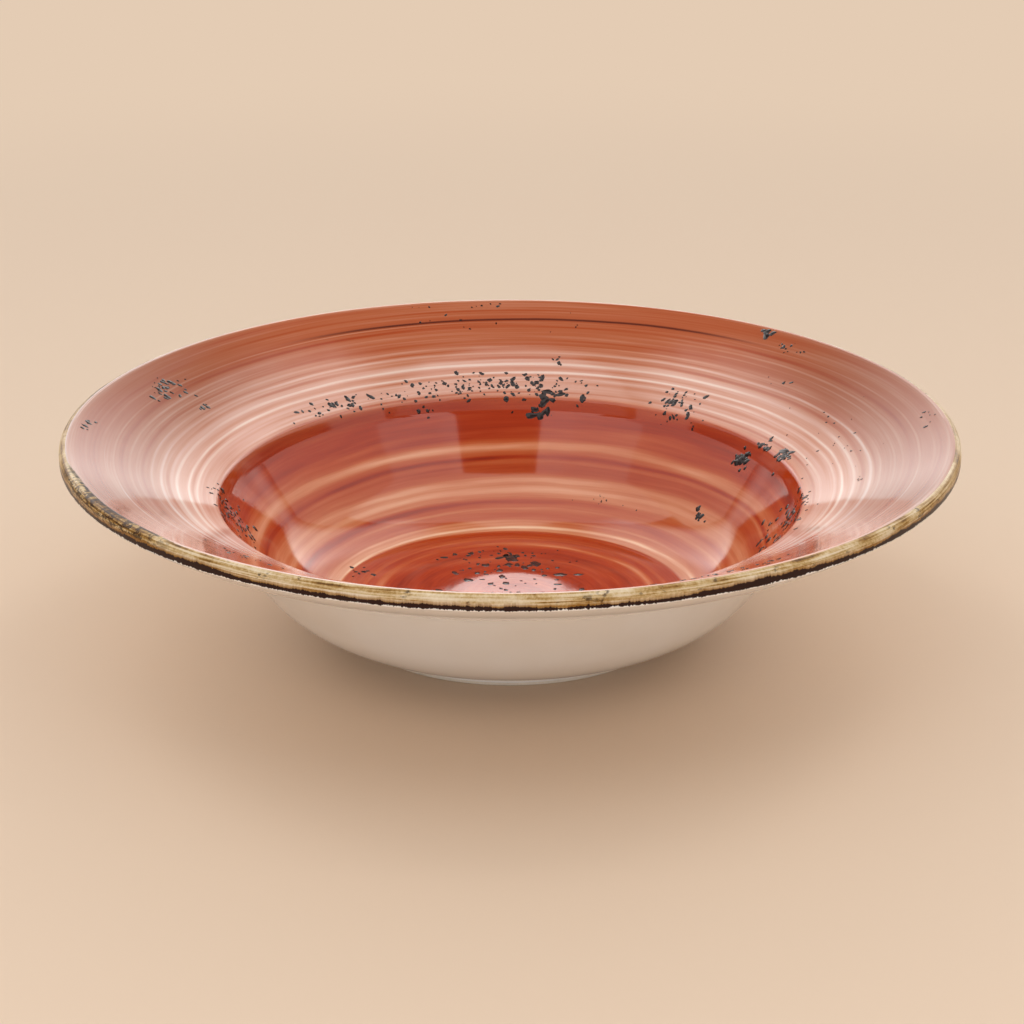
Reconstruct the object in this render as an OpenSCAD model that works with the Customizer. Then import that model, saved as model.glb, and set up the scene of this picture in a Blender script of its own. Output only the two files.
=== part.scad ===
// Wide-rimmed pasta bowl in glazed china.
// The section is a chain of straight runs joined by round bends, turned about the upright axis.
// Each bend is a corner where two runs meet. A run is known by the angle of its outward normal.

/* [Bowl] */
// Diameter over the edge
rim_d = 270; // [255:1:300]
// Height from the table to the top of the edge
bowl_h = 63.9; // [60:0.1:72]
// Diameter of the well's mouth at the lip
mouth_d = 177.2; // [168:0.2:186]
// Slope of the wide rim in degrees, halfway from lip to edge
rim_slope = 25; // [21:0.5:27]
// How much the rim is steeper at the lip and flatter at the edge, in degrees
rim_crown = 2; // [0.5:0.5:3]
// Slope of the well's wall in degrees
wall_slope = 54; // [48:0.5:60]
// Slope of the steeper throat right below the lip, in degrees
throat_slope = 66; // [62:0.5:72]
// Height of the throat
throat_h = 4.2; // [3:0.1:6]
// Slope of the heel between foot and wall in degrees
heel_slope = 22; // [17:0.5:26]
// Radius of the bend from heel to wall, measured outside
heel_r = 40; // [20:1:44]

/* [China] */
// Thickness of the wall
wall_t = 3.9; // [3.4:0.1:4.6]
// Thickness of the floor with its glaze
floor_t = 5.2; // [4.6:0.1:6]
// How far the flat floor reaches out beyond the foot ring
floor_over = 4.4; // [3:0.1:6]
// How much steeper the heel is inside than outside, in degrees
heel_spread = 1; // [0:0.5:2]
// How much flatter the rim is below than on top where it meets the wall, in degrees
rim_spread = 4; // [3:0.5:5]

/* [Edge] */
// Radius of the edge's upper corner
edge_top_r = 2.2; // [1.4:0.1:3]
// Height of the upright face between the two corners
edge_face_h = 1.7; // [1:0.1:2.4]
// Radius of the edge's lower corner
edge_low_r = 0.9; // [0.6:0.1:1.4]
// Slope of the underside right behind the lower corner, in degrees
edge_under_slope = 35; // [31:0.5:38]
// Radius of the gentle swell under the rim
swell_r = 105; // [70:5:130]

/* [Bends] */
// Radius of the rim's gentle crown
crown_r = 500; // [200:10:600]
// Radius of the lip between rim and throat
lip_r = 2.4; // [1.5:0.1:4]
// Radius of the bend from throat to wall
throat_r = 8; // [4:0.5:14]
// Radius of the bend from floor to heel
floor_r = 4; // [2:0.5:10]
// Radius of the hollow under the rim, where it meets the wall
under_r = 8; // [4:1:14]

/* [Foot] */
// Diameter of the foot ring
foot_d = 100; // [94:1:106]
// Height of the foot ring outside, up to the heel
foot_h = 2.35; // [2:0.05:4]
// Width of the foot ring between its lower corners
foot_w = 4; // [3:0.1:6]
// Lean of the foot ring's inner face in degrees
foot_lean = 30; // [15:1:40]
// Height of the recessed base above the table
base_h = 3; // [2.4:0.1:3.6]
// Radius of the foot ring's lower corners
foot_corner_r = 0.8; // [0.4:0.1:1]
// Radius of the small hollows beside the foot ring
foot_hollow_r = 0.6; // [0.3:0.1:0.8]

/* [Glaze] */
// Thickness of the glaze coats
glaze_t = 0.25; // [0.2:0.01:0.35]
// Height at which the glaze stops above the bare bearing edge
bare_h = 1.2; // [1.1:0.05:1.4]
// Where the edge glaze starts on top, as the angle of the surface's normal there (90 is the crest)
band_from = 82; // [70:1:100]
// Where the edge glaze ends on the lower corner, in degrees below level
band_to = 35; // [10:1:45]

/* [Hidden] */
$fn = 180;
bend_step = 6; // largest turn between two points of a bend, in degrees
long_step = 3; // longest straight side of a gentle bend
bend_share = 0.9; // share of a run that the bends at its ends may take up

rim_r = rim_d / 2;
mouth_r = mouth_d / 2;
foot_r = foot_d / 2;
floor_z = base_h + floor_t;
edge_z = bowl_h - edge_top_r; // centre height of the edge's upper corner

// Outward normals of the runs, from the middle of the floor over the edge to the middle of the base
up = 90;
level = 0;
down = -90;
inner_heel = up + heel_slope + heel_spread;
inner_wall = up + wall_slope;
throat = up + throat_slope;
rim_inner = up + rim_slope + rim_crown;
rim_outer = up + rim_slope - rim_crown;
edge_under = down + edge_under_slope;
rim_under = down + rim_slope - rim_spread;
outer_wall = down + wall_slope;
outer_heel = down + heel_slope;
foot_inner = foot_lean - 2 * up;

function unit(a) = [cos(a), sin(a)];
function cross_of(u, v) = u[0] * v[1] - u[1] * v[0];
// Where the run through p with normal a meets the run through q with normal b
function meet(p, a, q, b) =
    let (u = unit(a - up), v = unit(b - up))
    p + u * cross_of(q - p, v) / cross_of(u, v);
// How far a bend reaches along each of its runs from their corner
function reach(radius, turn) = radius * tan(turn / 2);
// How far a run's bends are shrunk so that their reaches fit on it
function fit(run, reaches) = min(1, bend_share * run / reaches);

// The upright edge: the centres of its two corners and a point on each run beside them
edge_centre = [rim_r - edge_top_r, edge_z];
low_centre = [rim_r - edge_low_r, edge_z - edge_face_h];
on_edge = [rim_r, edge_z];
on_rim_outer = edge_centre + edge_top_r * unit(rim_outer);
on_edge_under = low_centre + edge_low_r * unit(edge_under);
swell_run = unit(rim_under) - unit(edge_under);
swell_fit = fit(rim_r - mouth_r, swell_r * norm(swell_run) + reach(under_r, outer_wall - rim_under));
on_rim_under = on_edge_under + swell_r * swell_fit * swell_run;

// The corners of the rim's top and of the throat
crown = meet(on_rim_outer, rim_outer, [(mouth_r + rim_r) / 2, 0], level);
lip = meet(crown, rim_inner, [mouth_r, 0], level);
throat_foot = meet(lip, throat, lip - [0, throat_h], up);
crown_fit = fit(norm(crown - lip) - reach(edge_top_r, rim_outer), reach(crown_r, 2 * rim_crown));

// The wall and the heel
on_outer_wall = throat_foot - wall_t * unit(inner_wall);
on_outer_heel = [foot_r, foot_h];
floor_mid = [0, floor_z];
floor_edge = [foot_r + floor_over, floor_z];
inner_heel_corner = meet(floor_edge, inner_heel, throat_foot, inner_wall);
outer_heel_corner = meet(on_outer_wall, outer_wall, on_outer_heel, outer_heel);
under_corner = meet(on_rim_under, rim_under, on_outer_wall, outer_wall);

// The heel's bends shrink where the heel or the wall beside them is short
inner_reach = reach(heel_r - wall_t, inner_wall - inner_heel);
inner_fit = min(
    fit(norm(inner_heel_corner - floor_edge), reach(floor_r, inner_heel - up) + inner_reach),
    fit(norm(throat_foot - inner_heel_corner), reach(throat_r, throat - inner_wall) + inner_reach)
);
outer_reach = reach(heel_r, outer_wall - outer_heel);
outer_fit = min(
    fit(norm(outer_heel_corner - on_outer_heel), reach(foot_hollow_r, level - outer_heel) + outer_reach),
    fit(norm(under_corner - outer_heel_corner), reach(under_r, outer_wall - rim_under) + outer_reach)
);

// The foot ring and the recessed base
base_mid = [0, base_h - glaze_t];
foot_outer_low = [foot_r, -glaze_t];
foot_inner_low = [foot_r - foot_w, -glaze_t];

// Each bend is its corner, its radius, and the normals of the runs before and after it
floor_bend = [floor_edge, floor_r * inner_fit, up, inner_heel];
inner_heel_bend = [inner_heel_corner, (heel_r - wall_t) * inner_fit, inner_heel, inner_wall];
throat_bend = [throat_foot, throat_r, inner_wall, throat];
lip_bend = [lip, lip_r, throat, rim_inner];
crown_bend = [crown, crown_r * crown_fit, rim_inner, rim_outer];
edge_bend = [meet(on_rim_outer, rim_outer, on_edge, level), edge_top_r, rim_outer, level];
edge_low_bend = [meet(on_edge, level, on_edge_under, edge_under), edge_low_r, level, edge_under];
swell_corner = meet(on_edge_under, edge_under, on_rim_under, rim_under);
swell_bend = [swell_corner, swell_r * swell_fit, edge_under, rim_under];
under_bend = [under_corner, under_r, rim_under, outer_wall];
outer_heel_bend = [outer_heel_corner, heel_r * outer_fit, outer_wall, outer_heel];
foot_top_bend = [on_outer_heel, foot_hollow_r * outer_fit, outer_heel, level];
foot_outer_bend = [foot_outer_low, foot_corner_r, level, down];
foot_inner_bend = [foot_inner_low, foot_corner_r, down, foot_inner];
base_bend = [meet(foot_inner_low, foot_inner, base_mid, down), foot_hollow_r, foot_inner, down];

// Points of a bend between two normals, a given depth below the finished surface
function bend_part(bend, depth, from, to) =
    let (
        side = bend[3] < bend[2] ? 1 : -1,
        before = unit(bend[2]),
        after = unit(bend[3]),
        centre = bend[0] - side * bend[1] * (before + after) / (1 + before * after),
        turn = abs(to - from),
        steps = ceil(max(turn / bend_step, reach(bend[1], turn) * 2 / long_step))
    )
    [for (i = [0:steps]) centre + (side * bend[1] - depth) * unit(from + (to - from) * i / steps)];

function bend_points(bend, depth) = bend_part(bend, depth, bend[2], bend[3]);
function reversed(points) = [for (i = [len(points) - 1:-1:0]) points[i]];
// Two stretches that share an end point
function joined(first, second) = concat(first, [for (i = [1:len(second) - 1]) second[i]]);
// Closed outline of a coat: its finished surface, then the face that lies on the china
function coat(outer, inner) = concat(outer, reversed(inner));

// The four glazed stretches of the section, at a given depth
function inside_run(depth) = concat(
    [floor_mid - depth * unit(up)],
    bend_points(floor_bend, depth),
    bend_points(inner_heel_bend, depth),
    bend_points(throat_bend, depth),
    bend_points(lip_bend, depth),
    bend_points(crown_bend, depth),
    bend_part(edge_bend, depth, rim_outer, band_from)
);
function band_run(depth) = concat(
    bend_part(edge_bend, depth, band_from, level),
    bend_part(edge_low_bend, depth, level, -band_to)
);
function outside_run(depth) = concat(
    joined(bend_part(edge_low_bend, depth, -band_to, edge_under), bend_points(swell_bend, depth)),
    bend_points(under_bend, depth),
    bend_points(outer_heel_bend, depth),
    bend_points(foot_top_bend, depth),
    [[foot_r - depth, bare_h]]
);
function base_run(depth) = concat(
    [meet(foot_inner_low, foot_inner, [0, bare_h], up) - depth * unit(foot_inner)],
    bend_points(base_bend, depth),
    [base_mid - depth * unit(down)]
);
// The bare bearing edge, which lies at the glaze's depth like the rest of the china
function bearing_run(depth) = concat(
    bend_points(foot_outer_bend, depth),
    bend_points(foot_inner_bend, depth)
);

module turned(outline) {
    rotate_extrude() polygon(outline);
}

module china_body() {
    color("whitesmoke") turned(concat(
        joined(joined(inside_run(glaze_t), band_run(glaze_t)), outside_run(glaze_t)),
        bearing_run(glaze_t),
        base_run(glaze_t)
    ));
}

module inside_glaze() {
    color("indianred") turned(coat(inside_run(0), inside_run(glaze_t)));
}

module rim_band() {
    color("saddlebrown") turned(coat(band_run(0), band_run(glaze_t)));
}

module outside_glaze() {
    color("linen") turned(coat(outside_run(0), outside_run(glaze_t)));
}

module base_glaze() {
    color("linen") turned(coat(base_run(0), base_run(glaze_t)));
}

china_body();
inside_glaze();
rim_band();
outside_glaze();
base_glaze();
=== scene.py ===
import math
import random

import bmesh
import bpy
import numpy as np
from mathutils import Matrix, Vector


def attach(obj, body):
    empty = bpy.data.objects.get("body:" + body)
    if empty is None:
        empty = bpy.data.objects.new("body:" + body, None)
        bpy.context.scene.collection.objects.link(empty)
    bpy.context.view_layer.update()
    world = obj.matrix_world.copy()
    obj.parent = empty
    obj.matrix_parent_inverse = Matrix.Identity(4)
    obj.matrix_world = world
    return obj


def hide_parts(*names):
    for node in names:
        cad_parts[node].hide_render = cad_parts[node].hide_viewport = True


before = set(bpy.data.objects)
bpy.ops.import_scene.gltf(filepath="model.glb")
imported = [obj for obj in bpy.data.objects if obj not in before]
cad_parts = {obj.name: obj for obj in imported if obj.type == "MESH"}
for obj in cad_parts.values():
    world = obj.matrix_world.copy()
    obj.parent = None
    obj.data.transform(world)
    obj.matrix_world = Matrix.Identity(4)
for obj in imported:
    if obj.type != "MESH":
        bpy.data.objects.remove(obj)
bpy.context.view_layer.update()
mm = 0.001
print("frame loaded")


# The bowl's section: straight runs joined by round bends, each run known by the angle of its outward normal.
# Sizes in mm and degrees, the same as the solid model's.
bowl = {
    "rimRadius": 135,
    "height": 63.9,
    "mouthRadius": 88.6,
    "rimSlope": 25,
    "rimCrown": 2,
    "crownBend": 500,
    "throatSlope": 66,
    "throatDepth": 4.2,
    "wallSlope": 54,
    "wellSlope": 23,
    "floorRadius": 54.4,
    "floorHeight": 8.2,
    "heelSlope": 22,
    "heelBend": 40,
    "wall": 3.9,
    "edgeTopBend": 2.2,
    "edgeFace": 1.7,
    "edgeLowBend": 0.9,
    "edgeUnderSlope": 35,
    "swellBend": 105,
    "underSlope": 21,
    "lipBend": 2.4,
    "throatBend": 8,
    "floorBend": 4,
    "underBend": 8,
    "footRadius": 50,
    "footHeight": 2.35,
    "footWidth": 4,
    "footLean": 30,
    "footCorner": 0.8,
    "footHollow": 0.6,
    "baseHeight": 3,
    "glaze": 0.25,
    "bareHeight": 1.2,
    "bandFrom": 82,
    "bandTo": -35,
    "bendStep": 3,
    "turns": 288,
}


# The unit vector at an angle in degrees
def along(angle):
    return Vector((math.cos(math.radians(angle)), math.sin(math.radians(angle))))


# Where two straight runs cross: each goes through a point, and its normal has the angle given
def meet(p, a, q, b):
    u, v = along(a - 90), along(b - 90)
    gap = q - p
    return p + u * ((gap.x * v.y - gap.y * v.x) / (u.x * v.y - u.y * v.x))


# The round bend that rounds off a corner, between the normals before and after it
def bendAt(corner, radius, before, after):
    side = 1 if after < before else -1
    first, second = along(before), along(after)
    centre = corner - side * radius * (first + second) / (1 + first.dot(second))
    return {"centre": centre, "radius": side * radius, "from": before, "to": after}


def partOf(bend, start, end):
    return {**bend, "from": start, "to": end}


def pointOn(place, normal):
    return {"place": place, "normal": normal}


def layOutSection(size):
    throat, innerWall, innerHeel = 90 + size["throatSlope"], 90 + size["wallSlope"], 90 + size["wellSlope"]
    rimInner, rimOuter = 90 + size["rimSlope"] + size["rimCrown"], 90 + size["rimSlope"] - size["rimCrown"]
    edgeUnder, rimUnder = size["edgeUnderSlope"] - 90, size["underSlope"] - 90
    outerWall, outerHeel, footInner = -90 + size["wallSlope"], -90 + size["heelSlope"], size["footLean"] - 180
    edgeHeight = size["height"] - size["edgeTopBend"]
    edgeCentre = Vector((size["rimRadius"] - size["edgeTopBend"], edgeHeight))
    lowCentre = Vector((size["rimRadius"] - size["edgeLowBend"], edgeHeight - size["edgeFace"]))
    onEdge = Vector((size["rimRadius"], edgeHeight))
    onRimOuter = edgeCentre + size["edgeTopBend"] * along(rimOuter)
    crown = meet(onRimOuter, rimOuter, Vector(((size["mouthRadius"] + size["rimRadius"]) / 2, 0)), 0)
    lip = meet(crown, rimInner, Vector((size["mouthRadius"], 0)), 0)
    throatFoot = meet(lip, throat, lip - Vector((0, size["throatDepth"])), 90)
    onLowEnd = lowCentre + size["edgeLowBend"] * along(edgeUnder)
    onSwellEnd = onLowEnd + size["swellBend"] * (along(rimUnder) - along(edgeUnder))
    onOuterWall = throatFoot - size["wall"] * along(innerWall)
    onOuterHeel = Vector((size["footRadius"], size["footHeight"]))
    floorMid = Vector((0, size["floorHeight"]))
    floorEdge = Vector((size["floorRadius"], size["floorHeight"]))
    baseMid = Vector((0, size["baseHeight"] - size["glaze"]))
    footOut = Vector((size["footRadius"], -size["glaze"]))
    footIn = Vector((size["footRadius"] - size["footWidth"], -size["glaze"]))
    heelCorner = meet(floorEdge, innerHeel, throatFoot, innerWall)
    edge = bendAt(meet(onRimOuter, rimOuter, onEdge, 0), size["edgeTopBend"], rimOuter, 0)
    edgeLow = bendAt(meet(onEdge, 0, onLowEnd, edgeUnder), size["edgeLowBend"], 0, edgeUnder)
    return {
        "inside": [
            pointOn(floorMid, 90),
            bendAt(floorEdge, size["floorBend"], 90, innerHeel),
            bendAt(heelCorner, size["heelBend"] - size["wall"], innerHeel, innerWall),
            bendAt(throatFoot, size["throatBend"], innerWall, throat),
            bendAt(lip, size["lipBend"], throat, rimInner),
            bendAt(crown, size["crownBend"], rimInner, rimOuter),
            partOf(edge, rimOuter, size["bandFrom"]),
        ],
        "band": [partOf(edge, size["bandFrom"], 0), partOf(edgeLow, 0, size["bandTo"])],
        "outside": [
            partOf(edgeLow, size["bandTo"], edgeUnder),
            bendAt(meet(onLowEnd, edgeUnder, onSwellEnd, rimUnder), size["swellBend"], edgeUnder, rimUnder),
            bendAt(meet(onSwellEnd, rimUnder, onOuterWall, outerWall), size["underBend"], rimUnder, outerWall),
            bendAt(meet(onOuterWall, outerWall, onOuterHeel, outerHeel), size["heelBend"], outerWall, outerHeel),
            bendAt(onOuterHeel, size["footHollow"], outerHeel, 0),
            pointOn(Vector((size["footRadius"], size["bareHeight"])), 0),
        ],
        "bearing": [
            bendAt(footOut, size["footCorner"], 0, -90),
            bendAt(footIn, size["footCorner"], -90, footInner),
        ],
        "base": [
            pointOn(meet(footIn, footInner, Vector((0, size["bareHeight"])), 90), footInner),
            bendAt(meet(footIn, footInner, baseMid, -90), size["footHollow"], footInner, -90),
            pointOn(baseMid, -90),
        ],
    }


section = layOutSection(bowl)


# Draws one stretch of the section in the XZ plane, at a depth below the glazed surface
def drawStretch(bm, last, stretch, depth, backwards=False):
    for item in reversed(stretch) if backwards else stretch:
        if "place" in item:
            last = lineTo(bm, last, item["place"] - depth * along(item["normal"]))
            continue
        start, end = (item["to"], item["from"]) if backwards else (item["from"], item["to"])
        radius = item["radius"] - depth
        last = lineTo(bm, last, item["centre"] + radius * along(start))
        pivot = Vector((item["centre"].x, 0, item["centre"].y)) * mm
        steps = math.ceil(abs(end - start) / bowl["bendStep"]) + 1
        grown = bmesh.ops.spin(
            bm, geom=[last], cent=pivot, axis=(0, -1, 0), angle=math.radians(end - start), steps=steps
        )
        last = [v for v in grown["geom_last"] if isinstance(v, bmesh.types.BMVert)][0]
    return last


def lineTo(bm, last, place):
    spot = Vector((place.x, 0, place.y)) * mm
    if last is None:
        return bm.verts.new(spot)
    tip = bmesh.ops.extrude_vert_indiv(bm, verts=[last])["verts"][0]
    tip.co = spot
    return tip


def finishPiece(name, bm, material, nodes=(), sharp=35):
    mesh = bpy.data.meshes.new(name)
    bm.to_mesh(mesh)
    bm.free()
    mesh.polygons.foreach_set("use_smooth", [True] * len(mesh.polygons))
    mesh.set_sharp_from_angle(angle=math.radians(sharp))
    mesh.materials.append(material)
    piece = bpy.data.objects.new(name, mesh)
    bpy.context.scene.collection.objects.link(piece)
    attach(piece, "root")
    if nodes:
        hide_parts(*nodes)
    print(name, len(mesh.polygons), "faces")


# Closes a wire section and turns it about the upright axis
def turnSection(bm, first, last):
    if first.co.x > 0 or last.co.x > 0:
        bm.edges.new((last, first))
    bmesh.ops.spin(
        bm, geom=bm.verts[:] + bm.edges[:], cent=(0, 0, 0), axis=(0, 0, 1),
        angle=math.tau, steps=bowl["turns"], use_merge=True,
    )
    bmesh.ops.remove_doubles(bm, verts=bm.verts, dist=1e-6)
    bmesh.ops.recalc_face_normals(bm, faces=bm.faces)


# A thin shell: out along the glazed surface and back at the glaze's depth
def makeCoat(name, stretch, material, node):
    bm = bmesh.new()
    last = drawStretch(bm, None, stretch, 0)
    bm.verts.ensure_lookup_table()
    first = bm.verts[0]
    last = drawStretch(bm, last, stretch, bowl["glaze"], backwards=True)
    turnSection(bm, first, last)
    finishPiece(name, bm, material, [node])


# The china itself, which fills what lies between the coats
def makeBody(material):
    bm = bmesh.new()
    last = None
    for part in ("inside", "band", "outside", "bearing", "base"):
        last = drawStretch(bm, last, section[part], bowl["glaze"])
    bm.verts.ensure_lookup_table()
    turnSection(bm, bm.verts[0], last)
    finishPiece("chinaBody", bm, material, ["china_body"])


# A small helper that builds the nodes of a material, or of the world
class Finish:
    def __init__(self, name, owner=None):
        self.owner = owner or bpy.data.materials.new(name)
        self.owner.use_nodes = True
        self.tree = self.owner.node_tree
        self.tree.nodes.clear()

    # An input is linked where it is another node's socket, and otherwise set
    def add(self, kind, inputs=None, **settings):
        node = self.tree.nodes.new(kind)
        for key, value in settings.items():
            setattr(node, key, value)
        for key, value in (inputs or {}).items():
            if isinstance(value, bpy.types.NodeSocket):
                self.tree.links.new(value, node.inputs[key])
            else:
                node.inputs[key].default_value = value
        return node

    def math(self, operation, *values):
        return self.add("ShaderNodeMath", dict(enumerate(values)), operation=operation).outputs[0]

    # A Mix node has its two colours at inputs 6 and 7, and the mixed one at output 2
    def mix(self, factor, first, second, blend="MIX"):
        inputs = {"Factor": factor, 6: first, 7: second}
        return self.add("ShaderNodeMix", inputs, data_type="RGBA", blend_type=blend).outputs[2]

    # Takes low to toLow and high to toHigh, softly; low may be the larger of the two
    def spread(self, value, low, high, toLow=0.0, toHigh=1.0):
        return self.add(
            "ShaderNodeMapRange",
            {"Value": value, "From Min": low, "From Max": high, "To Min": toLow, "To Max": toHigh},
            interpolation_type="SMOOTHSTEP",
        ).outputs[0]

    def noise(self, vector, scale=1.0, detail=2.0, roughness=0.5):
        return self.add(
            "ShaderNodeTexNoise", {"Vector": vector, "Scale": scale, "Detail": detail, "Roughness": roughness}
        ).outputs[0]

    def ramp(self, value, stops):
        node = self.add("ShaderNodeValToRGB", {"Fac": value})
        points = node.color_ramp.elements
        while len(points) < len(stops):
            points.new(0.5)
        for point, (place, tone) in zip(points, stops):
            point.position = place
            point.color = tone if isinstance(tone, tuple) else (tone, tone, tone, 1)
        return node.outputs[0]

    def bump(self, height, strength=1.0, distance=mm):
        return self.add("ShaderNodeBump", {"Strength": strength, "Distance": distance, "Height": height}).outputs[0]

    def vector(self, x, y, z):
        return self.add("ShaderNodeCombineXYZ", {"X": x, "Y": y, "Z": z}).outputs[0]

    def close(self, **inputs):
        named = {key.replace("_", " ").title() if key != "IOR" else key: value for key, value in inputs.items()}
        shader = self.add("ShaderNodeBsdfPrincipled", named)
        self.add("ShaderNodeOutputMaterial", {"Surface": shader.outputs[0]})
        return self.owner


# A screen colour from 0 to 255, as the linear colour that Blender takes
def tint(red, green, blue):
    return tuple(((c / 255 + 0.055) / 1.055) ** 2.4 if c > 10 else c / 3294.6 for c in (red, green, blue)) + (1.0,)


# Distance from the upright axis in mm, and the direction round it, on a centre given in mm
def roundCoordinates(finish, centreX=0.0, centreY=0.0):
    place = finish.add("ShaderNodeTexCoord").outputs["Object"]
    parts = finish.add("ShaderNodeSeparateXYZ", {0: place}).outputs
    x = finish.math("MULTIPLY_ADD", parts[0], 1 / mm, -centreX)
    y = finish.math("MULTIPLY_ADD", parts[1], 1 / mm, -centreY)
    radius = finish.math("SQRT", finish.math("ADD", finish.math("MULTIPLY", x, x), finish.math("MULTIPLY", y, y)))
    safe = finish.math("MAXIMUM", radius, 0.5)  # no division by nought on the axis
    height = finish.math("MULTIPLY", parts[2], 1 / mm)
    return {
        "place": place,
        "radius": radius,
        "height": height,
        "cos": finish.math("DIVIDE", x, safe),
        "sin": finish.math("DIVIDE", y, safe),
    }


# Noise drawn out round the bowl like a brush mark: around is its count round the bowl, across its width in mm
def brushNoise(finish, at, radius, around, across, shift, detail=2.0, roughness=0.5):
    vector = finish.vector(
        finish.math("MULTIPLY_ADD", at["cos"], around, shift),
        finish.math("MULTIPLY", at["sin"], around),
        finish.math("DIVIDE", radius, across),
    )
    return finish.noise(vector, detail=detail, roughness=roughness)


# The same, swinging as far below nought as above it. A mark is the noise's own values and then its depth.
def sway(finish, at, radius, mark):
    *grain, depth = mark
    return finish.math("MULTIPLY_ADD", brushNoise(finish, at, radius, *grain), depth, -depth / 2)


# How far a point lies within a stretch of the rim: 1 in its inner half, and 0 from its half width in degrees on
def towards(finish, at, direction, halfWidth):
    facing = finish.math(
        "MULTIPLY_ADD", at["cos"], math.cos(math.radians(direction)),
        finish.math("MULTIPLY", at["sin"], math.sin(math.radians(direction))),
    )
    return finish.spread(facing, math.cos(math.radians(halfWidth)), math.cos(math.radians(halfWidth * 0.5)))


# The brushed terracotta inside. The ground is the paint's tone outwards from the middle. A stroke is its radius,
# half width and strength: pale above 0, deep below. A grain is brushNoise's around, across and shift, and its detail
# and roughness where they aren't 2 and 0.5. A range is what spread takes. Lengths are in mm, directions in degrees.
terracotta = {
    "groundCentre": (0.4, 0.0),
    "strokeCentre": (1.8, 0.5),
    "ground": [
        (0, 0.16), (30, 0.15), (36, 0.13), (40, 0.20), (54.3, 0.22), (54.9, 0.66), (57, 0.62), (60, 0.42),
        (64.5, 0.34), (67.5, 0.58), (72.5, 0.60), (74.5, 0.28), (77, 0.28), (79, 0.56), (81, 0.24), (86, 0.15),
        (88.2, 0.26), (89.4, 0.62), (93, 0.74), (103, 0.78), (106, 0.64), (111, 0.53), (117, 0.47), (123, 0.43),
        (131, 0.45), (132.6, 0.62), (133.4, 0.92),
    ],
    "strokes": [
        (13, 4, 0.06), (23, 3, -0.04), (36.5, 2.0, -0.06), (42.9, 1.5, 0.24), (47.5, 0.8, 0.07), (50.5, 1.2, -0.05),
        (55.8, 0.7, 0.20), (58.8, 0.6, 0.12), (61.5, 1.1, -0.08), (63.6, 0.6, 0.10), (66.1, 1.2, -0.20),
        (69.6, 0.9, 0.12), (72.0, 0.7, 0.12), (73.5, 0.5, -0.08), (75.9, 0.5, 0.14), (76.9, 0.5, -0.20),
        (79.3, 1.1, 0.22), (82.3, 0.6, 0.08), (84.2, 0.8, -0.06), (90.4, 0.5, -0.16), (92.2, 0.5, 0.10),
        (94.6, 0.7, -0.10), (96.4, 0.4, 0.08), (97.6, 0.5, -0.12), (98.8, 0.5, 0.20), (100.6, 0.7, -0.06),
        (102.3, 0.6, 0.12), (105.0, 0.7, -0.18), (107.1, 0.6, 0.26), (108.5, 0.5, -0.08), (110.0, 0.5, 0.12),
        (112.5, 0.5, -0.08), (114.2, 0.4, 0.07), (116.4, 0.5, 0.09), (118.9, 0.8, -0.15), (121.2, 0.4, 0.16),
        (125.0, 0.5, 0.06), (126.9, 0.5, -0.09), (129.2, 0.5, 0.06), (131.0, 0.5, -0.07),
    ],
    "brush": {"soft": 1.35, "core": 0.1, "weight": 0.9},
    "swell": {"grain": (1.6, 5, 29.3), "range": (0.3, 0.7, 0.5, 1.8)},
    "drift": (0.8, 30, 3.1, 2.0, 0.5, 2.6),
    "wobble": (2.4, 9, 11.7, 2.0, 0.5, 1.0),
    "streaks": [(1.3, 3.4, 47.9, 2, 0.5, 0.42), (2.2, 0.9, 63.1, 3, 0.6, 0.24), (5.0, 0.35, 77.7, 1, 0.5, 0.09)],
    "darkLine": {
        "radius": 122.6, "halfWidth": 0.8, "core": 0.1, "strength": 0.9,
        "direction": 88, "reach": 44, "tint": tint(78, 12, 0),
    },
    "tones": [
        (0.0, tint(136, 38, 2)), (0.16, tint(164, 52, 4)), (0.32, tint(180, 78, 34)), (0.48, tint(190, 101, 62)),
        (0.64, tint(206, 134, 102)), (0.78, tint(220, 162, 140)), (0.9, tint(233, 190, 170)),
        (1.0, tint(244, 214, 198)),
    ],
    # front: a painted highlight, the lip made paler on the front side of the bowl
    "front": {"direction": 270, "halfWidth": 85, "radii": (86, 91), "lift": 0.16},
    "rosy": {"grain": (1.2, 7, 81.0), "range": (0.5, 0.8, 0.0, 0.16), "tint": tint(205, 125, 112)},
    "well": {"radii": (90, 86), "tint": (1.22, 1.12, 0.88, 1)},
    # sides: painted shade and a painted cool sheen on the rim to the left and right, where less light falls
    "sides": {"facing": (0.55, 0.95), "radii": (95, 115), "tint": (0.76, 0.88, 1.0, 1)},
    "ripple": {"scale": 60, "detail": 1, "height": 0.07},
    "ridges": {"grain": (2.2, 2.4, 5.5), "height": 0.012},
    "dip": {"radius": 24, "depth": 0.8},
    "roughness": 0.07,
    "edgeRoughness": 0.5,  # added where the edge's glaze overlaps
    "IOR": 1.65,
}
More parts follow.
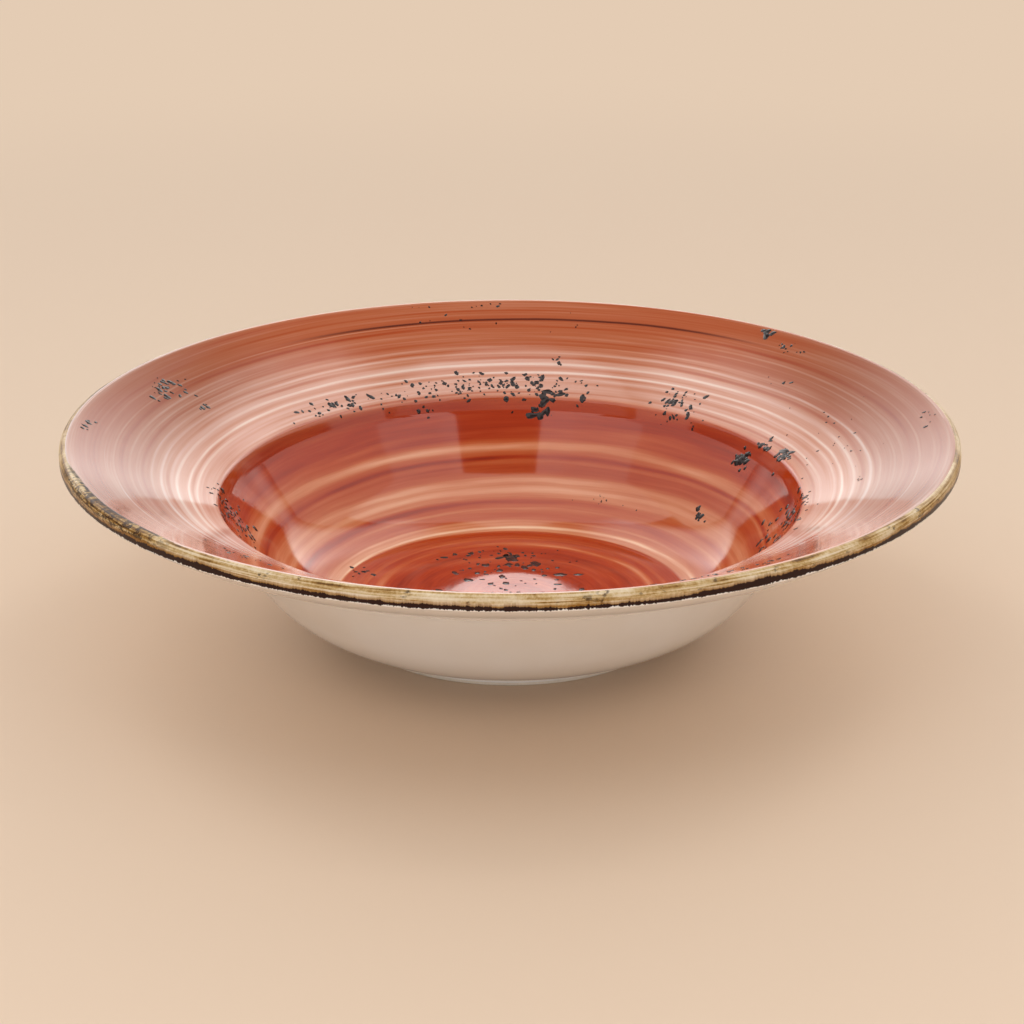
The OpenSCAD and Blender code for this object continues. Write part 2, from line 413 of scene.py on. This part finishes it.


# The paint's tone, from 0 for the deepest to 1 for the palest: the ground, the strokes, the streaks, and a painted
# highlight that makes the lip paler at the front
def terracottaTone(finish, ground, at, radius):
    span = bowl["rimRadius"]
    stops = [(place / span, tone) for place, tone in terracotta["ground"]]
    tone = finish.ramp(finish.math("DIVIDE", ground["radius"], span), stops)
    brush, swell, front = terracotta["brush"], terracotta["swell"], terracotta["front"]
    strength = None
    for place, halfWidth, weight in terracotta["strokes"]:
        away = finish.math("ABSOLUTE", finish.math("SUBTRACT", radius, place))
        stroke = finish.spread(
            away, halfWidth * brush["soft"], halfWidth * brush["core"], 0.0, weight * brush["weight"]
        )
        strength = stroke if strength is None else finish.math("ADD", strength, stroke)
    pressure = finish.spread(brushNoise(finish, at, radius, *swell["grain"]), *swell["range"])
    tone = finish.math("MULTIPLY_ADD", strength, pressure, tone)
    for mark in terracotta["streaks"]:
        tone = finish.math("ADD", tone, sway(finish, at, radius, mark))
    # Painted highlight: the tone is lifted towards pale round the lip at the front
    facing = towards(finish, at, front["direction"], front["halfWidth"])
    lift = finish.math("MULTIPLY", facing, finish.spread(radius, *front["radii"], 0, front["lift"]))
    return finish.math("ADD", tone, lift)


# Low uneven ridges, and the dip in the middle of the floor, in mm
def terracottaRelief(finish, ground, at, radius):
    ripple, ridges, dip = terracotta["ripple"], terracotta["ridges"], terracotta["dip"]
    low = finish.noise(ground["place"], scale=ripple["scale"], detail=ripple["detail"])
    low = finish.math("MULTIPLY", low, ripple["height"])
    brushed = brushNoise(finish, at, radius, *ridges["grain"])
    brushed = finish.math("MULTIPLY_ADD", brushed, ridges["height"], low)
    return finish.math("ADD", brushed, finish.spread(ground["radius"], 0.0, dip["radius"], -dip["depth"], 0.0))


def makeTerracotta():
    finish = Finish("terracottaGlaze")
    line, rosy, well, sides = (terracotta[part] for part in ("darkLine", "rosy", "well", "sides"))
    ground = roundCoordinates(finish, *terracotta["groundCentre"])
    at = roundCoordinates(finish, *terracotta["strokeCentre"])
    drift = sway(finish, at, at["radius"], terracotta["drift"])
    wobble = sway(finish, at, at["radius"], terracotta["wobble"])
    radius = finish.math("ADD", finish.math("ADD", at["radius"], drift), wobble)
    colour = finish.ramp(terracottaTone(finish, ground, at, radius), terracotta["tones"])

    away = finish.math("SUBTRACT", finish.math("ADD", at["radius"], wobble), line["radius"])
    dark = finish.spread(finish.math("ABSOLUTE", away), line["halfWidth"], line["core"], 0.0, line["strength"])
    dark = finish.math("MULTIPLY", dark, towards(finish, at, line["direction"], line["reach"]))
    colour = finish.mix(dark, colour, line["tint"])
    blush = finish.spread(brushNoise(finish, at, radius, *rosy["grain"]), *rosy["range"])
    colour = finish.mix(blush, colour, rosy["tint"])
    richer = finish.mix(1.0, colour, well["tint"], blend="MULTIPLY")
    colour = finish.mix(finish.spread(radius, *well["radii"]), colour, richer)
    # Painted shade: the rim to the left and right is darkened and cooled, standing in for the weaker light and bluish
    # sheen there
    sideShadeMask = finish.spread(finish.math("ABSOLUTE", at["cos"]), *sides["facing"])
    sideShadeMask = finish.math("MULTIPLY", sideShadeMask, finish.spread(radius, *sides["radii"]))
    paintedSideShade = finish.mix(1.0, colour, sides["tint"], blend="MULTIPLY")
    colour = finish.mix(sideShadeMask, colour, paintedSideShade)
    colour, over = overlapOfEdge(finish, ground, colour)

    rough = finish.math("MULTIPLY_ADD", over, terracotta["edgeRoughness"], terracotta["roughness"])
    relief = finish.bump(terracottaRelief(finish, ground, at, radius))
    return finish.close(base_color=colour, roughness=rough, IOR=terracotta["IOR"], normal=relief)


# The brown and olive glaze run round the edge. Heights are in mm above the table. Beyond its own stretch of the
# section it overlaps the terracotta a little on top and runs down in drips below. A grain here is edgeNoise's length,
# height and shift, and its detail and roughness where they aren't 2 and 0.5. A sway is how far a noise moves an edge.
edgeBand = {
    "olive": [
        (0.0, tint(44, 18, 2)), (0.22, tint(104, 66, 16)), (0.38, tint(158, 116, 50)), (0.52, tint(196, 162, 106)),
        (0.68, tint(222, 198, 158)), (1.0, tint(242, 226, 202)),
    ],
    "dark": tint(40, 6, 0),
    "gold": tint(150, 98, 26),
    "mottle": {"grain": (0.9, 0.7, 2.3, 3, 0.7), "weight": 0.5},
    "lines": {"grain": (30, 0.42, 7.9, 3, 0.6), "weight": 1.5},
    "patches": {"grain": (12, 3, 13.1), "weight": 0.9},
    "tone": -0.92,
    "stain": {"direction": 211, "halfWidth": 18, "reach": 1.6, "tone": -0.12, "blots": 0.85},
    "front": {"direction": 266, "halfWidth": 62, "tone": 0.1},
    "blots": {"grain": (2.4, 1.1, 23.7, 3, 0.75), "range": (0.47, 0.56)},
    "rareBlots": {"grain": (5, 3, 31.3), "range": (0.60, 0.70, 0.0, 0.8)},
    "line": {
        "top": 61.25, "foot": 59.75,
        "slow": (30, 400, 3.3, 1), "runs": (5, 60, 17.1, 2), "drips": (0.55, 8, 41.9, 2, 0.7),
        "topSway": {"slow": 2.6, "runs": 1.6, "drips": 1.2}, "footSway": {"runs": 0.8, "drips": 1.7},
        "golden": (-1.1, 0.0, 0.0, 0.75), "above": (-0.08, 0.22), "below": (-0.05, 0.06),
    },
    "overlap": {
        "from": 133.9, "jags": (1.6, 500, 53.0, 3, 0.7), "soft": (-0.1, 0.3),
        "ragged": {"grain": (1.8, 500, 67.0, 3, 0.7), "range": (0.42, 0.5)}, "topLine": (1.5, 0.9),
    },
    "relief": {"grain": (2.5, 1.5, 9.0), "height": 0.05},
    "roughness": 0.3,
    "IOR": 1.33,
}

offWhite = {
    "clay": tint(246, 243, 240),
    "warm": tint(239, 230, 219),
    "clouds": {"scale": 28, "detail": 3, "range": (0.35, 0.75, 0.0, 0.5)},
    "dripsFrom": (133.6, 134.0),  # the radii where the edge's drips start
    "ripple": {"scale": 70, "strength": 0.2, "distance": 0.0001},
    "roughness": 0.08,
    "IOR": 1.6,
}

footEdge = {
    "tints": (tint(224, 214, 200), tint(240, 232, 220)),
    "grain": {"scale": 1500, "strength": 0.3, "distance": 0.00005},
    "roughness": 0.62,
}


# Noise that runs round the edge in marks of a given length and height in mm
def edgeNoise(finish, at, length, height, shift, detail=2.0, roughness=0.5):
    count = bowl["rimRadius"] / length
    vector = finish.vector(
        finish.math("MULTIPLY_ADD", at["cos"], count, shift), finish.math("MULTIPLY", at["sin"], count),
        finish.math("DIVIDE", at["height"], height),
    )
    return finish.noise(vector, detail=detail, roughness=roughness)


def stainAt(finish, at):
    return towards(finish, at, edgeBand["stain"]["direction"], edgeBand["stain"]["halfWidth"])


def edgeColour(finish, at):
    mottle, lines, patches = (edgeBand[part] for part in ("mottle", "lines", "patches"))
    front, spots, few = (edgeBand[part] for part in ("front", "blots", "rareBlots"))
    tone = finish.math("MULTIPLY", edgeNoise(finish, at, *lines["grain"]), lines["weight"])
    tone = finish.math("MULTIPLY_ADD", edgeNoise(finish, at, *mottle["grain"]), mottle["weight"], tone)
    shade = finish.math(
        "MULTIPLY_ADD", edgeNoise(finish, at, *patches["grain"]), patches["weight"], edgeBand["tone"]
    )
    tone = finish.math("ADD", tone, shade)
    stain = stainAt(finish, at)
    tone = finish.math("MULTIPLY_ADD", stain, edgeBand["stain"]["tone"], tone)
    facing = towards(finish, at, front["direction"], front["halfWidth"])
    tone = finish.math("MULTIPLY_ADD", facing, front["tone"], tone)
    blots = finish.spread(edgeNoise(finish, at, *spots["grain"]), *spots["range"])
    rare = finish.spread(edgeNoise(finish, at, *few["grain"]), *few["range"])
    inStain = finish.math("MULTIPLY", stain, edgeBand["stain"]["blots"])
    blots = finish.math("MULTIPLY", blots, finish.math("MAXIMUM", inStain, rare))
    return finish.mix(blots, finish.ramp(tone, edgeBand["olive"]), edgeBand["dark"])


# The dark line under the edge, which thickens and thins and ends in small drips: how golden it is above, and how far
# a point lies below its top and above its foot
def darkLine(finish, at):
    line = edgeBand["line"]
    slow, runs, drips = (edgeNoise(finish, at, *line[part]) for part in ("slow", "runs", "drips"))
    rise, fall = line["topSway"], line["footSway"]
    top = finish.math("MULTIPLY_ADD", runs, rise["runs"], line["top"] - (rise["slow"] + rise["runs"]) / 2)
    top = finish.math("MULTIPLY_ADD", slow, rise["slow"], top)
    top = finish.math("MULTIPLY_ADD", drips, rise["drips"], finish.math("SUBTRACT", top, rise["drips"] / 2))
    foot = finish.math("MULTIPLY_ADD", drips, -fall["drips"], line["foot"] + (fall["runs"] + fall["drips"]) / 2)
    foot = finish.math("MULTIPLY_ADD", runs, -fall["runs"], foot)
    under = finish.math("SUBTRACT", top, at["height"])
    golden = finish.spread(under, *line["golden"])
    above = finish.spread(under, *line["above"])
    below = finish.spread(finish.math("SUBTRACT", at["height"], foot), *line["below"])
    return golden, above, below


# Lays the edge's glaze over the outermost terracotta, in a ragged border. Gives the colour and how far it is covered.
def overlapOfEdge(finish, at, colour):
    overlap = edgeBand["overlap"]
    stain = stainAt(finish, at)
    start = finish.math("MULTIPLY_ADD", stain, -edgeBand["stain"]["reach"], overlap["from"])
    start = finish.math("SUBTRACT", start, edgeNoise(finish, at, *overlap["jags"]))
    past = finish.math("SUBTRACT", at["radius"], start)
    ragged = finish.spread(edgeNoise(finish, at, *overlap["ragged"]["grain"]), *overlap["ragged"]["range"])
    topLine = finish.math("MULTIPLY", finish.spread(past, *overlap["topLine"]), finish.math("MULTIPLY", stain, ragged))
    edge = finish.mix(topLine, edgeColour(finish, at), edgeBand["dark"])
    over = finish.spread(past, *overlap["soft"])
    return finish.mix(over, colour, edge), over


def offWhiteColour(finish, at):
    clouds = offWhite["clouds"]
    warm = finish.spread(finish.noise(at["place"], scale=clouds["scale"], detail=clouds["detail"]), *clouds["range"])
    return finish.mix(warm, offWhite["clay"], offWhite["warm"])


def makeEdgeBand():
    finish = Finish("brownEdgeGlaze")
    at = roundCoordinates(finish)
    golden, above, below = darkLine(finish, at)
    colour = finish.mix(golden, edgeColour(finish, at), edgeBand["gold"])
    colour = finish.mix(above, colour, edgeBand["dark"])
    colour = finish.mix(below, offWhiteColour(finish, at), colour)
    relief = edgeBand["relief"]
    height = finish.math("MULTIPLY", edgeNoise(finish, at, *relief["grain"]), relief["height"])
    return finish.close(
        base_color=colour, roughness=edgeBand["roughness"], IOR=edgeBand["IOR"], normal=finish.bump(height)
    )


def makeOffWhite():
    finish = Finish("offWhiteGlaze")
    at = roundCoordinates(finish)
    above, below = darkLine(finish, at)[1:]
    atEdge = finish.spread(at["radius"], *offWhite["dripsFrom"])
    drips = finish.math("MULTIPLY", finish.math("MULTIPLY", above, below), atEdge)
    colour = finish.mix(drips, offWhiteColour(finish, at), edgeBand["dark"])
    ripple = offWhite["ripple"]
    relief = finish.bump(finish.noise(at["place"], scale=ripple["scale"]), ripple["strength"], ripple["distance"])
    return finish.close(base_color=colour, roughness=offWhite["roughness"], IOR=offWhite["IOR"], normal=relief)


def makeBareChina():
    finish = Finish("bareChina")
    at = roundCoordinates(finish)
    grain = finish.noise(at["place"], scale=footEdge["grain"]["scale"])
    colour = finish.mix(grain, *footEdge["tints"])
    relief = finish.bump(grain, footEdge["grain"]["strength"], footEdge["grain"]["distance"])
    return finish.close(base_color=colour, roughness=footEdge["roughness"], normal=relief)


terracottaGlaze = makeTerracotta()
edgeGlaze = makeEdgeBand()
offWhiteGlaze = makeOffWhite()
bareChina = makeBareChina()
print("materials made")

makeBody(bareChina)
makeCoat("insideGlaze", section["inside"], terracottaGlaze, "inside_glaze")
makeCoat("rimBand", section["band"], edgeGlaze, "rim_band")
makeCoat("outsideGlaze", section["outside"], offWhiteGlaze, "outside_glaze")
makeCoat("baseGlaze", section["base"], offWhiteGlaze, "base_glaze")


# Dark flecks in the glaze. A cluster is its radius in mm, its direction in degrees, its spread in mm outwards
# and in degrees round, how many flecks it has and their size in mm. Flecks near the middle of the floor are drops.
# Foot and top are a fleck's two radii, as shares of its size; rise and sunk are in mm from the surface.
flecks = {
    "seed": 41,
    "many": 1.5,
    "large": 1.15,
    "spreadOut": 0.6,
    "spreadRound": 0.7,
    "sizes": (0.25, 0.8),
    "scales": (0.6, 1.0, 1.0, 1.3),
    "lengths": (1.0, 1.9),
    "lean": 0.6,
    "ragged": (0.72, 1.2),
    "sides": 11,
    "plain": {"foot": 1, "top": 0.72, "rise": 0.12, "sunk": 0.06},
    "drops": {"foot": 1.3, "top": 0.3, "rise": 0.07, "sunk": 0.012},
    "dropsWithin": 31,
    "margins": (2, 2.5),
    "tints": (tint(14, 6, 6), tint(44, 22, 20)),
    "grainScale": 700,
    "roughness": 0.14,
    "IOR": 1.5,
    "clusters": [
        (94, 92, 4.5, 13, 90, 0.8), (90, 82, 2.0, 4, 10, 1.7), (87, 86, 1.5, 7, 9, 1.4), (93, 54, 4.5, 4, 34, 0.8),
        (91, 112, 3.5, 8, 22, 0.8), (88, 50, 1.5, 4, 8, 0.8), (92, 130, 3.0, 8, 22, 0.9), (90, 18, 3.0, 2, 16, 1.5),
        (90, 25, 2.5, 2, 9, 1.0), (85.5, 30, 1.5, 2, 14, 1.5), (72, 33, 1.2, 1.5, 5, 1.2), (87, 184, 3.5, 6, 34, 0.8),
        (81, 181, 3.5, 4, 20, 0.9), (122, 156, 4.5, 3, 26, 0.9), (109, 154, 1.5, 1, 5, 0.9), (129, 178, 2.0, 2, 4, 0.9),
        (130, 49, 1.0, 0.8, 4, 1.4), (126, 43, 3.0, 3, 8, 0.7), (105, 81, 2.0, 1, 4, 0.8), (122, 92, 5.0, 10, 9, 0.5),
        (130, 100, 2.0, 8, 5, 0.5), (112, 38, 2.0, 2, 4, 0.6), (86, 352, 4.5, 8, 46, 0.9), (79, 356, 3.0, 6, 18, 0.9),
        (105, 352, 1.5, 1, 3, 0.7), (105, 15, 12, 14, 16, 0.45), (69, 62, 1.0, 7, 8, 0.35), (36, 92, 5.0, 22, 24, 0.9),
        (31, 90, 2.0, 4, 8, 1.9), (24, 95, 5.0, 40, 26, 1.1), (50, 157, 4.0, 5, 7, 0.8), (12, 90, 8.0, 80, 20, 0.8),
        (128, 5, 2.0, 6, 5, 0.6), (97, 265, 5.0, 14, 30, 0.9), (122, 300, 4.0, 8, 18, 0.8), (110, 230, 5.0, 8, 12, 0.7),
        (76, 290, 3.0, 10, 16, 0.9), (60, 230, 3.0, 14, 10, 0.6), (126, 262, 3.0, 6, 10, 0.7),
    ],
}


# The inside surface as a path outwards from the middle of the floor: length, radius, height and normal
def tracePath(stretch):
    bm = bmesh.new()
    drawStretch(bm, None, stretch, 0)
    spots = np.array([(v.co.x, v.co.z) for v in bm.verts])
    bm.free()
    steps = np.diff(spots, axis=0)
    length = np.concatenate([[0], np.cumsum(np.hypot(steps[:, 0], steps[:, 1]))])
    slopes = np.gradient(spots, length, axis=0)
    return {"length": length, "radius": spots[:, 0], "height": spots[:, 1], "out": slopes[:, 0], "up": slopes[:, 1]}


# Lays a flat spot on the inside: x runs round, y outwards and z off the surface
def wrapOnto(path, spot, place, direction):
    length = np.interp(place, path["radius"], path["length"]) + spot.y
    radius, height, out, up = (np.interp(length, path["length"], path[k]) for k in ("radius", "height", "out", "up"))
    angle = direction + spot.x / max(radius, 2 * mm)
    reach = radius - up * spot.z
    return Vector((reach * math.cos(angle), reach * math.sin(angle), height + out * spot.z))


def makeFleckGlaze():
    finish = Finish("darkFleck")
    at = roundCoordinates(finish)
    grain = finish.noise(at["place"], scale=flecks["grainScale"])
    colour = finish.mix(grain, *flecks["tints"])
    return finish.close(base_color=colour, roughness=flecks["roughness"], IOR=flecks["IOR"])


def makeFlecks():
    draw = random.Random(flecks["seed"])
    path = tracePath(section["inside"])
    bm = bmesh.new()
    inner, outer = flecks["margins"]
    inner, outer = path["radius"][0] + inner * mm, path["radius"][-1] - outer * mm
    sides = flecks["sides"]
    for place, direction, spreadOut, spreadRound, count, size in flecks["clusters"]:
        for _ in range(round(count * flecks["many"])):
            radius = (place + draw.gauss(0, spreadOut * flecks["spreadOut"])) * mm
            radius = min(max(radius, inner), outer)
            turn = math.radians(direction + draw.gauss(0, spreadRound * flecks["spreadRound"]))
            half = size * flecks["large"] * mm * draw.uniform(*flecks["sizes"]) * draw.choice(flecks["scales"])
            shape = flecks["drops"] if radius < flecks["dropsWithin"] * mm else flecks["plain"]
            made = bmesh.ops.create_cone(
                bm, cap_ends=True, segments=sides, radius1=half * shape["foot"], radius2=half * shape["top"],
                depth=(shape["rise"] + shape["sunk"]) * mm,
            )["verts"]
            lift = (shape["rise"] - shape["sunk"]) * mm / 2
            stretch, lean = draw.uniform(*flecks["lengths"]), draw.gauss(math.pi / 2, flecks["lean"])
            ragged = [draw.uniform(*flecks["ragged"]) for _ in range(sides)]
            for vert in made:
                side = round(math.atan2(vert.co.y, vert.co.x) / math.tau * sides) % sides
                x, y = vert.co.x * ragged[side] * stretch, vert.co.y * ragged[side]
                flat = Vector((
                    x * math.cos(lean) - y * math.sin(lean), x * math.sin(lean) + y * math.cos(lean), vert.co.z + lift,
                ))
                vert.co = wrapOnto(path, flat, radius, turn)
    bmesh.ops.recalc_face_normals(bm, faces=bm.faces)
    finishPiece("flecks", bm, makeFleckGlaze(), sharp=50)


makeFlecks()


# The studio: a wide pale floor, softboxes round and above the bowl, a glow low behind it, and the camera, which
# stands just inside the front softboxes. Sizes in metres. Each upright panel is its two lower ends, its lower and
# upper edge, and its brightness; each ceiling panel its two corners, its height and its brightness.
# The glows' angles are in degrees from straight up, and round from straight behind.
studio = {
    "floorRadius": 4.0,
    "floorSides": 96,
    "floorTint": tint(228, 204, 180),
    "floorRoughness": 0.7,
    "plainFrom": (0.4, 0.8),
    "ambient": 0.18,
    "lampTint": (1.0, 0.965, 0.93),
    "glow": {"brightness": 1.75, "up": (40, 80), "level": (90, 79, 0.45), "narrow": (50, 24)},
    "sideGlow": {"brightness": 1.6, "around": (19, 27, 46, 56), "up": (24, 34, 70, 80)},
    "walls": [
        ("leftPanel", (-1.3, -0.85), (-1.3, 1.0), 0.55, 1.4, 0.62),
        ("rightPanel", (1.3, -0.85), (1.3, 1.0), 0.55, 1.4, 0.62),
        ("frontLeftPanel", (-0.8, -0.85), (-0.26, -0.85), 0.8, 1.4, 1.15),
        ("frontRightPanel", (0.49, -0.85), (0.9, -0.85), 0.8, 1.4, 1.15),
        ("frontLeftHigh", (-1.3, -0.85), (-0.8, -0.85), 1.1, 1.4, 1.15),
        ("frontRightHigh", (0.9, -0.85), (1.3, -0.85), 1.1, 1.4, 1.15),
        ("frontMiddlePanel", (-1.3, -0.86), (1.3, -0.86), 0.34, 0.78, 0.3),
        ("frontLowPanel", (-1.3, -0.86), (1.3, -0.86), 0.1, 0.34, 1.45),
        ("backPanel", (-0.09, 2.0), (0.09, 2.0), 0.88, 1.45, 1.8),
    ],
    "ceiling": [("overhead", (-1.3, -0.85), (1.3, 0.66), 1.4, 1.0)],
}


# The floor takes the bowl's shadow. Well away from the bowl, camera, glossy and transmission rays see its plain
# colour, so that the softboxes' uneven light hardly shows there.
def makeFloorFinish():
    finish = Finish("paleFloor")
    place = finish.add("ShaderNodeTexCoord").outputs["Object"]
    away = finish.add("ShaderNodeVectorMath", {0: place}, operation="LENGTH").outputs["Value"]
    path = finish.add("ShaderNodeLightPath").outputs
    seen = finish.math("MAXIMUM", path["Is Camera Ray"], path["Is Glossy Ray"])
    seen = finish.math("MAXIMUM", seen, path["Is Transmission Ray"])
    plain = finish.math("MULTIPLY", seen, finish.spread(away, *studio["plainFrom"]))
    matt = finish.add(
        "ShaderNodeBsdfPrincipled", {"Base Color": studio["floorTint"], "Roughness": studio["floorRoughness"]}
    )
    even = finish.add("ShaderNodeEmission", {"Color": studio["floorTint"], "Strength": 1.0})
    both = finish.add("ShaderNodeMixShader", {0: plain, 1: matt.outputs[0], 2: even.outputs[0]})
    finish.add("ShaderNodeOutputMaterial", {"Surface": both.outputs[0]})
    return finish.owner


def makeFloor():
    bm = bmesh.new()
    bmesh.ops.create_circle(bm, cap_ends=True, segments=studio["floorSides"], radius=studio["floorRadius"])
    mesh = bpy.data.meshes.new("floor")
    bm.to_mesh(mesh)
    bm.free()
    floor = bpy.data.objects.new("floor", mesh)
    bpy.context.scene.collection.objects.link(floor)
    mesh.materials.append(makeFloorFinish())


# A lamp's power grows with its area, so that a panel's brightness is the same at any size
def makeSoftbox(name, middle, size, facing, brightness):
    light = bpy.data.lights.new(name, "AREA")
    light.shape = "RECTANGLE"
    light.size, light.size_y = size
    light.color = studio["lampTint"]
    light.energy = brightness * math.pi * size[0] * size[1]
    box = bpy.data.objects.new(name, light)
    box.location = middle
    box.rotation_euler = (-Vector(facing)).to_track_quat("Z", "Y").to_euler()
    bpy.context.scene.collection.objects.link(box)


# 1 from full to fading, and 0 before start and after end
def between(finish, value, start, full, fading, end):
    return finish.math("MULTIPLY", finish.spread(value, start, full), finish.spread(value, end, fading))


# Dim all round, with a glow low behind the bowl and a soft patch of light on either side of it
def makeSurroundings():
    glow, side = studio["glow"], studio["sideGlow"]
    finish = Finish("surroundings", bpy.data.worlds.new("surroundings"))
    parts = finish.add("ShaderNodeSeparateXYZ", {0: finish.add("ShaderNodeTexCoord").outputs["Generated"]}).outputs
    up = finish.math("DEGREES", finish.math("ARCCOSINE", parts[2]))
    around = finish.math("DEGREES", finish.math("ARCTAN2", finish.math("ABSOLUTE", parts[0]), parts[1]))
    horizon, full, least = glow["level"]
    low = finish.math(
        "MULTIPLY", finish.spread(up, *glow["up"], 0, glow["brightness"]),
        finish.spread(up, horizon, full, least, 1),
    )
    behind = finish.spread(around, *glow["narrow"])
    patches = finish.math("MULTIPLY", between(finish, around, *side["around"]), between(finish, up, *side["up"]))
    strength = finish.math("MULTIPLY_ADD", patches, side["brightness"], studio["ambient"])
    strength = finish.math("MULTIPLY_ADD", low, behind, strength)
    light = finish.add("ShaderNodeBackground", {"Color": (*studio["lampTint"], 1.0), "Strength": strength})
    finish.add("ShaderNodeOutputWorld", {"Surface": light.outputs[0]})
    return finish.owner


makeFloor()
for name, start, end, low, high, brightness in studio["walls"]:
    run = Vector(end) - Vector(start)
    middle = (Vector(start) + Vector(end)) / 2
    inward = Vector((-run.y, run.x)) if run.x * middle.y - run.y * middle.x < 0 else Vector((run.y, -run.x))
    makeSoftbox(name, (*middle, (low + high) / 2), (run.length, high - low), (*inward, 0), brightness)
for name, first, second, height, brightness in studio["ceiling"]:
    size = (second[0] - first[0], second[1] - first[1])
    middle = ((first[0] + second[0]) / 2, (first[1] + second[1]) / 2, height)
    makeSoftbox(name, middle, size, (0, 0, -1), brightness)
bpy.context.scene.world = makeSurroundings()

cameraView = {
    "place": (0.00057, -0.80015, 0.34016),
    "pitch": 20.826,
    "focalPixels": 2800,
    "pictureWidth": 1024,
    "sensor": 36,
}
cameraData = bpy.data.cameras.new("camera")
cameraData.sensor_width = cameraView["sensor"]
cameraData.lens = cameraView["focalPixels"] * cameraView["sensor"] / cameraView["pictureWidth"]
camera = bpy.data.objects.new("camera", cameraData)
camera.location = cameraView["place"]
camera.rotation_euler = (math.radians(90 - cameraView["pitch"]), 0, 0)
bpy.context.scene.collection.objects.link(camera)
bpy.context.scene.camera = camera
bpy.context.scene.view_settings.view_transform = "Standard"
print("studio set")
